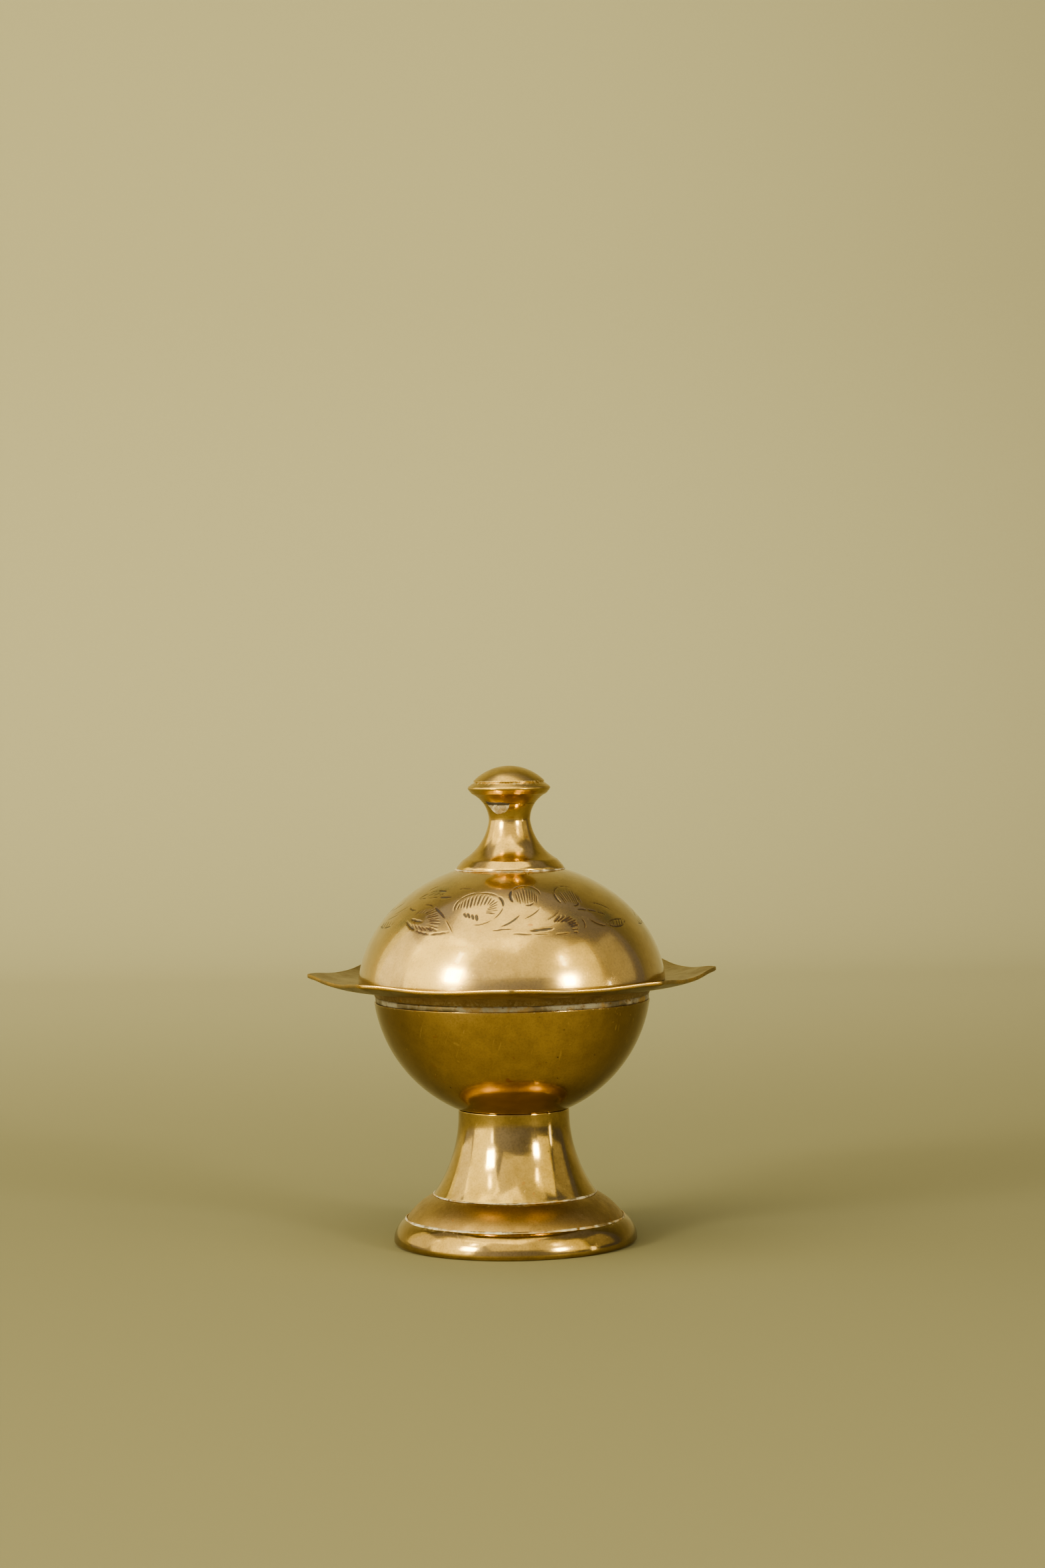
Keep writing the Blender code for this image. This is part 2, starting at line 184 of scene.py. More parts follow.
SKIRT_OUTSIDE, SKIRT_INSIDE, SKIRT_DROP, LEDGE_RADIUS, LEDGE_HEIGHT = 25.1, 24.4, 4.1, 29.7, 0.8
# the neck's two hollow arcs, each as (r, z) of its centre and its radius, and where they meet
NECK_FLARE, NECK_THROAT, NECK_WAIST_HEIGHT = ((15.0, 86.75), 10.93), ((10.12, 85.24), 5.94), 85.24
NECK_FOOT_RADIUS, NECK_TOP = 10.8, 88.6
KNOB_TOP, KNOB_RIM, KNOB_CAP = 96.17, (8.37, 91.7), 10


def bowl_surface(r):
    """Height of the bowl's outside at distance r from the axis."""
    return BOWL_CENTRE - math.sqrt(BOWL_RADIUS**2 - r * r)


def stem_radius(z):
    """Distance of the stem's outside from the axis at height z."""
    drop = max(STEM_WAIST[1] - z, 0)
    return STEM_WAIST[0] + STEM_ARC - math.sqrt(STEM_ARC**2 - drop * drop)


def dome_surface(r):
    """Height of the dome's outside at distance r from the axis."""
    return DOME_CENTRE + DOME_RISE * np.sqrt(1 - (r / DOME_RADIUS) ** 2)


def neck_radius(z):
    """Distance of the neck's outside from the axis at height z, on into the underside of the knob."""
    (centre, level), radius = NECK_THROAT if z >= NECK_WAIST_HEIGHT else NECK_FLARE
    return centre - math.sqrt(radius**2 - (z - level) ** 2)


# ---------------------------------------------------------------- the stand


def make_foot_ring():
    outline = [
        (21.4, 0),
        (24.1, 0),
        *arc(*FOOT_ROLL[:2], 0, FOOT_ROLL[2], 20),
        (20.0, FOOT_RING_TOP),
        (20.0, 3.9),
        (21.4, 3.1),
    ]
    return turned("foot_ring_fine", outline, "stand", edge=0.3, step=0.4, uneven=0.03, seed=11)


def make_foot_moulding():
    bottom, top = np.array((21.9, FOOT_RING_TOP + CLOSE)), np.array((16.4, MOULDING_TOP))
    chord = np.linalg.norm(top - bottom)
    inward = np.array((bottom[1] - top[1], top[0] - bottom[0])) / chord
    centre = (bottom + top) / 2 + inward * math.sqrt(MOULDING_ARC**2 - chord**2 / 4)
    start, end = [math.degrees(math.atan2(*(p - centre)[::-1])) for p in (bottom, top)]
    ceiling = MOULDING_TOP - MOULDING_WALL
    inner = [(r, min(z, ceiling)) for r, z in arc(centre, MOULDING_ARC - MOULDING_WALL, end, start, 12)]
    outline = [
        *arc(centre, MOULDING_ARC, start, end, 20),
        (MOULDING_HOLE, MOULDING_TOP),
        (MOULDING_HOLE, ceiling),
        *inner[:-1],
        (bottom[0] - MOULDING_WALL, bottom[1]),
    ]
    return turned("foot_moulding_fine", outline, "stand", edge=0.25, step=0.4, uneven=0.03, seed=12)


def make_stem():
    bottom = MOULDING_TOP + CLOSE
    waist = STEM_WAIST[0]
    inner = waist - STEM_WALL
    outline = [
        *[(stem_radius(z), z) for z in np.linspace(bottom, STEM_WAIST[1], 30)],
        (waist, float(bowl_surface(waist)) - CLOSE),
        (inner, float(bowl_surface(inner)) - CLOSE),
        *[(stem_radius(z) - STEM_WALL, z) for z in np.linspace(STEM_WAIST[1], bottom, 11)],
    ]
    return turned("stem_fine", outline, "stand", edge=0.2, step=0.5, uneven=0.05, seed=13)


def make_bowl():
    centre = (0, BOWL_CENTRE)
    inner_radius = BOWL_RADIUS - BOWL_WALL
    below = BOWL_CENTRE - BOWL_RIM
    outer = arc(centre, BOWL_RADIUS, -90, -math.degrees(math.asin(below / BOWL_RADIUS)), 80)
    inner = arc(centre, inner_radius, -math.degrees(math.asin(below / inner_radius)), -90, 50)
    outer[0], inner[-1] = (0, outer[0][1]), (0, inner[-1][1])
    return turned("bowl_fine", outer + inner, "stand", uneven=0.06, seed=14)


def make_collar():
    band_top = BRIM_TOP - BRIM_SHEET - CLOSE
    outline = [
        (COLLAR_SPIGOT, SPIGOT_BOTTOM),
        (COLLAR_SPIGOT, COLLAR_BOTTOM),
        (27.7, COLLAR_BOTTOM),
        (28.3, band_top),
        (COLLAR_LIP, band_top),
        (COLLAR_LIP, BRIM_TOP),
        (COLLAR_BORE, BRIM_TOP),
        (COLLAR_BORE, SPIGOT_BOTTOM),
    ]
    return turned("mouth_collar_fine", outline, "stand", edge=0.12, step=0.3, uneven=0.03, seed=15)


def brim_edge(theta):
    """Outer radius and lift of the brim all round: a straight-sided octagon with raised corners."""
    sector = TAU / 8
    corner = np.round(theta / sector).astype(int)
    off_corner = np.abs(theta - corner * sector)
    eased = np.hypot(off_corner, BRIM_TIP_ROUND)
    radius = BRIM_CORNER * math.cos(sector / 2) / np.cos(sector / 2 - np.minimum(eased, sector / 2))
    lifts = np.array(BRIM_CORNER_LIFTS)[corner % 8]
    share = ((1 + np.cos(8 * theta)) / 2) ** 1.4
    return radius, BRIM_EDGE_LIFT + (lifts - BRIM_EDGE_LIFT) * share


def make_brim():
    """Hammered sheet brim. Its cut edge is slightly rounded and its faces are a little uneven."""
    columns = 512
    theta = np.arange(columns) * TAU / columns
    edge_radius, lift = brim_edge(theta)
    edge_radius = edge_radius - 0.12 - 0.1 * np.abs(wobble(theta, 21, 1.0, (3, 7, 13, 22)))
    lift = lift + wobble(theta, 22, 0.1, (2, 3, 11, 17))
    hole = COLLAR_LIP + CLOSE
    cut = 0.12  # how far the edge's corners are rounded off

    def ring(share, inset, depth):
        """A ring at a share of the way from the flat to the edge, or below 0 back to the hole."""
        r = BRIM_FLAT + (edge_radius - inset - BRIM_FLAT) * share
        if share < 0:
            r = hole + (BRIM_FLAT - hole) * (1 + share)
        z = BRIM_TOP + lift * max(share, 0) ** 2 - depth
        return ring_points(theta, r, z)

    shares = [*np.linspace(-1, 0, 9)[:-1], *np.linspace(0, 0.95, 30), 0.975, 1.0]
    rings = [ring(s, cut if s == 1 else 0, BRIM_SHEET) for s in shares]
    rings.append(ring(1.0, 0.25 * cut, BRIM_SHEET - 0.3 * cut))
    rings.append(ring(1.0, 0, BRIM_SHEET * 0.7))
    rings.append(ring(1.0, 0, BRIM_SHEET * 0.3))
    rings.append(ring(1.0, 0.25 * cut, 0.3 * cut))
    rings += [ring(s, cut if s == 1 else 0, 0) for s in shares[::-1]]
    faces = []
    for index in range(len(rings)):
        faces += quads(index * columns, (index + 1) % len(rings) * columns, columns)
    worn = [0.0] * (len(shares) - 1) + [0.6] + [1.0] * 4 + [0.8] + [0.0] * (len(shares) - 1)
    worn = np.repeat(worn, columns)
    return make_object("petal_brim_fine", np.concatenate(rings), faces, "stand", {"worn": worn})


# ---------------------------------------------------------------- the lid


def dome_meridian(turn, inset=0.0):
    """(r, z) on the dome at an angle up from its widest ring."""
    return (DOME_RADIUS - inset) * np.cos(turn), DOME_CENTRE + (DOME_RISE - inset) * np.sin(turn)


ENGRAVED_LOW, ENGRAVED_HIGH = math.radians(26.5), math.radians(60)
ENGRAVED_ROWS, ENGRAVED_COLUMNS = 74, 1024
CUT_DEPTH, CUT_SLOPE = 0.07, 0.13  # a cut's depth, and the width of its sloping side
DOME_UNEVEN, DOME_SEED = 0.05, 31
SPRAY_TURNS = (0, 152)  # the spray of leaves at the front comes again behind
# old green-brown dirt between one spray's cuts: angle round the lid and height
GRIME = ((-55, 65.5), (-49, 72), (12, 72), (29, 66.5), (33, 71.5), (50, 66.5))
GRIME_SPREAD = 1.4


def make_dome():
    """Spun dome. A band round it has a fine grid, deep enough in detail for the engraving."""
    foot = BRIM_TOP + CLOSE
    edge_turn = math.asin((foot + 0.6 - DOME_CENTRE) / DOME_RISE)
    foot_radius = dome_meridian(edge_turn)[0]
    vertices, faces, cuts = [], [], []

    def add_ring(r, z):
        theta = np.arange(COLUMNS) * TAU / COLUMNS
        radius = r + wobble(theta, DOME_SEED, DOME_UNEVEN) * min(1, r / 12)
        first = len(cuts)
        vertices.extend(ring_points(theta, radius, z).tolist())
        cuts.extend([0.0] * COLUMNS)
        return first

    def add_pole(z):
        vertices.append((0, 0, z))
        cuts.append(0.0)
        return len(cuts) - 1

    # outside, from the rounded foot up to the engraved band
    firsts = [add_ring(foot_radius - inset, foot + up) for inset, up in ((0.5, 0), (0.18, 0.1), (0.02, 0.32))]
    for turn in np.linspace(edge_turn, ENGRAVED_LOW, 26):
        firsts.append(add_ring(*dome_meridian(turn)))
    for here, after in zip(firsts, firsts[1:]):
        faces += quads(here, after, COLUMNS)
    below_band = firsts[-1]

    band_turns = np.linspace(ENGRAVED_LOW, ENGRAVED_HIGH, ENGRAVED_ROWS + 2)[1:-1]
    depth = engraving(band_turns)
    band = []
    for turn, row in zip(band_turns, depth):
        r, z = dome_meridian(turn)
        normal = np.array((math.cos(turn) / DOME_RADIUS, math.sin(turn) / DOME_RISE))
        normal = normal / np.linalg.norm(normal)
        theta = np.arange(ENGRAVED_COLUMNS) * TAU / ENGRAVED_COLUMNS
        sunk = row * CUT_DEPTH
        radius = r + wobble(theta, DOME_SEED, DOME_UNEVEN) * min(1, r / 12) - sunk * normal[0]
        height = z - sunk * normal[1]
        band.append(len(cuts))
        vertices.extend(ring_points(theta, radius, height).tolist())
        cuts.extend(row.tolist())
    for here, after in zip(band, band[1:]):
        faces.extend(quads(here, after, ENGRAVED_COLUMNS))

    upper = []
    for turn in np.linspace(ENGRAVED_HIGH, math.pi / 2, 24)[:-1]:
        upper.append(add_ring(*dome_meridian(turn)))
    for here, after in zip(upper, upper[1:]):
        faces += quads(here, after, COLUMNS)
    faces += fan(upper[-1], add_pole(dome_meridian(math.pi / 2)[1]), COLUMNS, upward=True)

    # the plain rings meet the finer band with four of its columns to each of theirs
    ratio = ENGRAVED_COLUMNS // COLUMNS
    for coarse, fine, coarse_below in ((below_band, band[0], True), (upper[0], band[-1], False)):
        for i in range(COLUMNS):
            c0, c1 = coarse + i, coarse + (i + 1) % COLUMNS
            f = [fine + (ratio * i + k) % ENGRAVED_COLUMNS for k in range(ratio + 1)]
            triangles = [(c0, f[1], f[0]), (c0, f[2], f[1]), (c0, c1, f[2])]
            triangles += [(c1, f[3], f[2]), (c1, f[4], f[3])]
            faces.extend([list(t) if coarse_below else list(t[::-1]) for t in triangles])

    inside = [add_ring(*dome_meridian(t, DOME_WALL)) for t in np.linspace(math.pi / 2, edge_turn, 40)[1:]]
    faces += fan(inside[0], add_pole(dome_meridian(math.pi / 2, DOME_WALL)[1]), COLUMNS, upward=False)
    for here, after in zip(inside, inside[1:]):
        faces += quads(here, after, COLUMNS)
    foot_inside = add_ring(foot_radius - DOME_WALL, foot)
    faces += quads(inside[-1], foot_inside, COLUMNS)
    faces += quads(foot_inside, firsts[0], COLUMNS)
    dirt = grime(np.array(vertices))
    return make_object("lid_dome_fine", vertices, faces, "lid", {"cut": cuts, "grime": dirt})


def grime(places):
    """How dirty the dome is at each of these places, from 0 to 1."""
    amount = np.zeros(len(places))
    for angle, level in [(angle + turn, level) for turn in SPRAY_TURNS for angle, level in GRIME]:
        radius = float(dome_meridian(math.asin((level - DOME_CENTRE) / DOME_RISE))[0])
        theta = math.radians(angle - 90)
        middle = np.array((radius * math.cos(theta), radius * math.sin(theta), level))
        amount = np.maximum(amount, np.exp(-((places - middle) ** 2).sum(1) / (2 * GRIME_SPREAD**2)))
    return amount


def bowed(start, end, bow=0.0, count=28):
    """A line between two points, in millimetres on the dome's surface, that swells to its left by bow."""
    start, end = np.array(start, float), np.array(end, float)
    across = np.array((start[1] - end[1], end[0] - start[0])) / math.dist(start, end)
    t = np.linspace(0, 1, count)[:, None]
    return start + (end - start) * t + across * bow * 4 * t * (1 - t)


def rounded(centre, half_width, half_height, first, last, count=64):
    """Part of an oval, from one angle to another, in degrees anticlockwise from the right."""
    angles = np.radians(np.linspace(first, last, count))
    return np.array(centre) + np.stack([half_width * np.cos(angles), half_height * np.sin(angles)], 1)


def strokes(line, *widths):
    """The graver's cuts along one line: as many as there are widths, end to end."""
    stops = np.linspace(0, len(line) - 1, len(widths) + 1).round().astype(int)
    return [(line[a:b + 1], width) for a, b, width in zip(stops, stops[1:], widths)]


def hatching(inner, outer, count, width, seed):
    """Short tapered cuts, each running from a place on one line to its partner on another."""
    rng = np.random.default_rng(seed)
    cuts = []
    for t in np.linspace(0, 1, count):
        start, end = (line[round(t * (len(line) - 1))] for line in (inner, outer))
        along = end - start
        line = bowed(start + along * rng.uniform(-0.08, 0.12), end - along * rng.uniform(-0.05, 0.08), 0, 10)
        cuts.append((line, width * rng.uniform(0.75, 1.2)))
    return cuts


def shell_leaf(seed):
    """The widest leaf, round like a cockle shell: cuts fan out under its rim and dark nicks mark its base."""
    middle = (-0.2, 3.6)
    cuts = strokes(rounded(middle, 5, 4.5, 195, -95), 0.26, 0.20, 0.20, 0.46, 0.26, 0.22)
    cuts += strokes(bowed((-6, 9), (-2, 9), 0.4), 0.20)
    cuts += hatching(bowed((-4.5, 3), (1.5, 4)), rounded(middle, 4.3, 3.9, 160, 60), 10, 0.26, seed)
    cuts += hatching(rounded(middle, 2, 2, 10, -40), rounded(middle, 4.3, 3.9, 45, -25), 6, 0.25, seed + 1)
    return cuts + hatching(bowed((-3, 2.2), (-0.2, 1.8)), bowed((-2, 1), (0.4, 0)), 4, 0.62, seed + 2)


def pointed_leaf(seed):
    """A long leaf seen half turned: a heavy toothed lower edge, a dark slit, and a tail past its tip."""
    cuts = strokes(bowed((-5, -0.5), (7.5, -2.5), -1.5), 0.50, 0.40, 0.28)
    cuts += strokes(bowed((0.5, 3.5), (8.5, -3), 0.5), 0.60, 0.24)
    cuts += strokes(bowed((-7, 3), (-4, 2.5), -0.4), 0.36) + strokes(bowed((-2.5, 4), (0.5, 3.5), 0.2), 0.30)
    cuts += strokes(bowed((-4, 0), (0, -0.5)), 0.52)
    cuts += hatching(bowed((-3, -1), (1, -1.5)), bowed((-1, -2.5), (3.5, -2.5), -0.2), 5, 0.32, seed)
    cuts += hatching(bowed((-1, 1.5), (1.5, -1.5), 0.4), bowed((1, 3), (5, -2.5), 1), 9, 0.27, seed + 1)
    return cuts + hatching(bowed((-3.5, 1), (-1, 1.5)), bowed((-2.5, 2.5), (0, 3.2), 0.2), 4, 0.20, seed + 2)


def twin_leaf(seed):
    """Two slim leaves from one base, each ending in a dark cut."""
    base = (-3, -0.5)
    cuts = strokes(bowed(base, (3.2, 2.2), 1.4), 0.20, 0.20, 0.60)
    cuts += strokes(bowed(base, (6, 0.5), 0.2), 0.20, 0.20, 0.56)
    cuts += strokes(bowed((-2.5, 2), (-0.5, 4), 0.4), 0.20)
    return cuts + hatching(bowed((-2.5, 0), (2, 1)), bowed((-1, 1.5), (3.5, 1.7), 0.3), 4, 0.18, seed)


def bud(seed, middle=(0.3, 2.5), last=5, widths=(0.60, 0.24, 0.30)):
    """A round bud: an arched top, a dark crescent on its left, and fine upright cuts."""
    u, v = middle
    cuts = strokes(rounded(middle, 3, 3.5, 210, last), *widths)
    cuts += strokes(rounded(middle, 2, 2.7, -100, -40), 0.30)
    top = rounded(middle, 2.3, 2.8, 145, 15)
    return cuts + hatching(bowed((u - 1.6, v - 2.2), (u + 2, v - 2.2)), top, 9, 0.18, seed)


def half_bud(seed):
    """A bud like the other with an open right side."""
    return bud(seed, (2, 1.8), 50, (0.52, 0.24, 0.16))


def fingered_leaf(seed):
    """Thick tapered fingers spread from one side, with a dark slit and two long lines leading to them."""
    cuts = strokes(rounded((3.5, 0.8), 2.5, 2.2, 40, -40), 0.26) + strokes(bowed((-6, -0.5), (-1, 0)), 0.66)
    cuts += strokes(bowed((-9.5, -1), (2.5, -1.3), -0.2), 0.28, 0.20, 0.24)
    return cuts + hatching(bowed((-0.5, 1.5), (3, -1), 0.9), bowed((1.5, 3.2), (4, -1.2), 1.8), 9, 0.44, seed)


def sweeps(_):
    """Loose curved strokes that join the leaves."""
    cuts = strokes(bowed((-4, -1), (1, -0.5), 0.1), 0.28)
    for u, v, width in ((-2, 0, 0.46), (2.5, 1.8, 0.26), (6.8, 1.2, 0.18)):
        cuts += strokes(bowed((u, v), (u + 3 + 2 * width, v + 3), -0.4), width)
    return cuts


def trailing_leaf(seed):
    """A drooping stem of double lines that ends in a small hatched leaf."""
    upper, lower = bowed((4, -1.5), (10.5, -1.2), 0.6), bowed((4, -1.8), (9.5, -2), -0.6)
    cuts = strokes(bowed((-1.5, 2.5), (5, 0.5), 0.4), 0.30, 0.36, 0.24)
    cuts += strokes(bowed((2.5, 4), (8, 1), 0.7), 0.20)
    cuts += strokes(bowed((0, 0), (4, -2), -0.6), 0.34) + strokes(upper, 0.26) + strokes(lower, 0.36)
    return cuts + hatching(lower, upper, 7, 0.22, seed)


def small_leaf(seed):
    """A short hatched leaf with one line running from it."""
    lower = bowed((-3.8, -0.5), (2.8, 0), -0.5)
    cuts = strokes(lower, 0.34, 0.40) + strokes(bowed((-2, 0.8), (2.5, 3)), 0.20)
    return cuts + hatching(lower[8:], bowed((-3, 0.5), (2.8, 1), 0.3), 5, 0.24, seed)


def engraved_leaves():
    """Every leaf, as (angle round the lid, height of its base, strokes). Angle 0 is the front."""
    spray = (
        (small_leaf, -71, 65),
        (twin_leaf, -52, 70.5),
        (pointed_leaf, -43, 66.5),
        (shell_leaf, -16, 66.5),
        (sweeps, 0, 65.5),
        (bud, 8, 69.5),
        (fingered_leaf, 21, 65),
        (half_bud, 29, 69.5),
        (trailing_leaf, 38, 66.5),
    )
    leaves = []
    for turn in SPRAY_TURNS:
        for k, (leaf, angle, height) in enumerate(spray):
            leaves.append((angle + turn, height, leaf(40 + turn + 3 * k)))
    return leaves + [(222, 67, pointed_leaf(7)), (254, 66.5, shell_leaf(8)), (272, 66, sweeps(9))]


def stroke_depth(points, width, u, v):
    """How deep one tapered stroke is cut, from 0 to 1, at places (u, v) on the dome's surface."""
    near = np.zeros(u.shape)
    count = len(points) - 1
    for k, (a, b) in enumerate(zip(points, points[1:])):
        along = b - a
        t = np.clip(((u - a[0]) * along[0] + (v - a[1]) * along[1]) / (along @ along), 0, 1)
        away = np.hypot(u - a[0] - t * along[0], v - a[1] - t * along[1])
        place = (k + t) / count
        taper = np.clip(np.minimum(place / 0.25, (1 - place) / 0.3), 0, 1) ** 0.5
        half = (0.05 + 0.34 * width) * taper
        strength = np.clip(half / 0.2, 0, 1) ** 0.6  # thin strokes are shallow
        near = np.maximum(near, np.clip((half + 0.05 - away) / CUT_SLOPE, 0, 1) * strength)
    return near


def engraving(band_turns):
    """How deep the cut is, from 0 to 1, at each row and column of the dome's engraved band."""
    depth = np.zeros((len(band_turns), ENGRAVED_COLUMNS))
    fine = np.linspace(0, math.pi / 2, 2000)
    speed = np.hypot(DOME_RADIUS * np.sin(fine), DOME_RISE * np.cos(fine))
    length = np.concatenate([[0], np.cumsum((speed[1:] + speed[:-1]) / 2 * np.diff(fine))])
    row_length = np.interp(band_turns, fine, length)
    row_radius = dome_meridian(band_turns)[0]
    column_angle = np.arange(ENGRAVED_COLUMNS) * TAU / ENGRAVED_COLUMNS
    for angle, height, leaf in engraved_leaves():
        middle = math.radians(angle - 90)
        base = np.interp(math.asin((height - DOME_CENTRE) / DOME_RISE), fine, length)
        off_middle = (column_angle - middle + math.pi) % TAU - math.pi
        for points, width in leaf:
            low, high = points.min(0) - width, points.max(0) + width
            rows = np.nonzero((row_length - base > low[1]) & (row_length - base < high[1]))[0]
            if not len(rows):
                continue
            reach = row_radius[rows].min()
            left, right = low[0] / reach - 0.02, high[0] / reach + 0.02
            columns = np.nonzero((off_middle > left) & (off_middle < right))[0]
            u = off_middle[columns][None, :] * row_radius[rows][:, None]
            v = np.repeat((row_length[rows] - base)[:, None], len(columns), 1)
            patch = np.ix_(rows, columns)
            depth[patch] = np.maximum(depth[patch], stroke_depth(points, width, u, v))
    return depth


def make_locating_ring():
    bottom, seat = BRIM_TOP - SKIRT_DROP, BRIM_TOP + CLOSE
    outline = [
        (SKIRT_OUTSIDE, bottom),
        (SKIRT_OUTSIDE, seat),
        (LEDGE_RADIUS, seat),
        (LEDGE_RADIUS, seat + LEDGE_HEIGHT),
        (SKIRT_INSIDE, seat + LEDGE_HEIGHT),
        (SKIRT_INSIDE, bottom),
    ]
    return turned("locating_ring_fine", outline, "lid", uneven=0.0, seed=16)


def make_neck():
    foot = float(dome_surface(NECK_FOOT_RADIUS)) + CLOSE
    outline = [
        (0, float(dome_surface(0)) + CLOSE),
        *[(r, float(dome_surface(r)) + CLOSE) for r in np.linspace(1, NECK_FOOT_RADIUS - 0.3, 10)],
        (NECK_FOOT_RADIUS, foot + 0.05),
        (NECK_FOOT_RADIUS, foot + 0.38),
        (10.62, 76.05),
        (10.15, 76.6),
        *[(neck_radius(z), z) for z in np.linspace(77.3, NECK_TOP, 56)],
        (0, NECK_TOP),
    ]
    return turned("finial_neck_fine", outline, "lid", edge=0.12, step=0.4, uneven=0.03, seed=17)


def make_knob():
    cap = arc((0, KNOB_TOP - KNOB_CAP), KNOB_CAP, math.degrees(math.acos(0.72)), 90, 30)
    bottom, groove = NECK_TOP + CLOSE, cap[0][1]
    rim_radius, rim_height = KNOB_RIM
    outline = [
        (0, bottom),
        *[(neck_radius(z), z) for z in np.linspace(bottom, rim_height - 1.1, 20)],
        (rim_radius - 0.2, rim_height - 0.35),
        KNOB_RIM,
        (rim_radius - 0.2, rim_height + 0.35),
        (7.4, groove - 0.5),
        (7.0, groove - 0.2),
        *cap[:-1],
        (0, KNOB_TOP),
    ]
    return turned("finial_knob_fine", outline, "lid", edge=0.12, step=0.3, uneven=0.02, seed=18)


def make_seam(name, path, body, seed, width, height, raggedness):
    """A bead of solder along a ring. The path is the (r, z) of its middle and the way it bulges."""
    (r, z), (out_r, out_z) = path
    columns = 720
    theta = np.arange(columns) * TAU / columns
    ragged = wobble(theta, seed, 1.0, (1, 3, 7, 12, 19, 31, 53))
    wide = width * np.clip(1 + raggedness * ragged, 0.25, 1.9)
    high = height * np.clip(1 + raggedness * wobble(theta, seed + 1, 1.0, (2, 5, 9, 17, 37)), 0.3, 1.6)
    along_r, along_z = -out_z, out_r
    rings = []
    for t in np.linspace(0, TAU, 13)[:-1]:
        across, up = math.cos(t), math.sin(t)
        radius = r + wide * across * along_r + high * up * out_r
        level = z + wide * across * along_z + high * up * out_z
        rings.append(ring_points(theta, radius, level))
    faces = []
    for index in range(len(rings)):
        faces += quads((index + 1) % len(rings) * columns, index * columns, columns)
    return make_object(name, np.concatenate(rings), faces, body)


PATCH_ANGLE, PATCH_HALF_ANGLE = -118, 29  # degrees from +X; the front is at -90
PATCH_TOP, PATCH_HEIGHT = 88.95, 2.4


def make_knob_patch():
    """A lens of solder smeared over the joint between knob and neck, a little to the left of the front, with
    a painted shadow along its top edge.
    """
    across, tall = 40, 16
    vertices = []
    for layer in (1, -1):
        for j in range(tall + 1):
            for i in range(across + 1):
                x, y = 2 * i / across - 1, 2 * j / tall - 1
                theta = math.radians(PATCH_ANGLE + PATCH_HALF_ANGLE * x)
                tall_here = PATCH_HEIGHT * math.sqrt(1 - 0.995 * x * x)
                z = PATCH_TOP - (1 - y) / 2 * tall_here - 0.12 * x + 0.06 * math.sin(5 * x)
                swell = 0.22 * (1 - x * x) * (1 - y * y) ** 0.7 + 0.03 * math.sin(9 * x + 4 * y)
                r = neck_radius(z) + (swell + 0.02 if layer > 0 else -0.05)
                vertices.append((r * math.cos(theta), r * math.sin(theta), z))
    row = across + 1
    back = row * (tall + 1)
    faces = []
    for j in range(tall):
        for i in range(across):
            a = j * row + i
            faces.append([a, a + 1, a + row + 1, a + row])
            faces.append([back + a, back + a + row, back + a + row + 1, back + a + 1])
    rim = [*range(row)] + [row * (j + 1) + across for j in range(tall)]
    rim += [back - 1 - i for i in range(1, row)] + [row * (tall - 1 - j) for j in range(tall)]
    for a, b in zip(rim[:-1], rim[1:]):
        faces.append([b, a, back + a, back + b])
    # painted shadow: the top 0.6 mm of the patch, under the knob, is coloured near-black
    dark = [1.0 if z > PATCH_TOP - 0.6 else 0.0 for _, _, z in vertices]
    return make_object("knob_patch", vertices, faces, "lid", {"stain_and_top_shadow": dark})


# ---------------------------------------------------------------- materials


